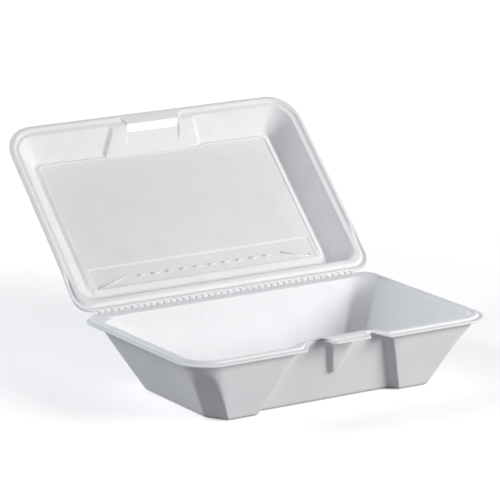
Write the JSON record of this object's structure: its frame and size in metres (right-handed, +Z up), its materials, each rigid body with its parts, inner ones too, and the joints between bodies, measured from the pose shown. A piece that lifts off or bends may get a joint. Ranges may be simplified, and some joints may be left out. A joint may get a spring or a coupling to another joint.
{
  "type": "foam hinged lid container",
  "caption": "White foam take-out container: deep tapered tray with a locking nose and a shallow slotted lid on a perforated fold hinge, standing open.",
  "frame": {"origin": "centre of the tray's flat underside", "axes": "+Z up, +X along the hinge, -Y towards the locking nose in front"},
  "size_m": [0.239, 0.2726, 0.1606],
  "materials": {
    "foam": "matte, fine-grained white polystyrene foam"
  },
  "bodies": {
    "tray": {"tray": "foam"},
    "lid": {"lid": "foam"}
  },
  "joints": [
    {"name": "lid_hinge", "type": "hinge", "parent": "tray", "child": "lid", "pos_m": [0, 0.0755, 0.0502], "axis": [-1, 0, 0], "range_deg": [-136, 44]}
  ]
}
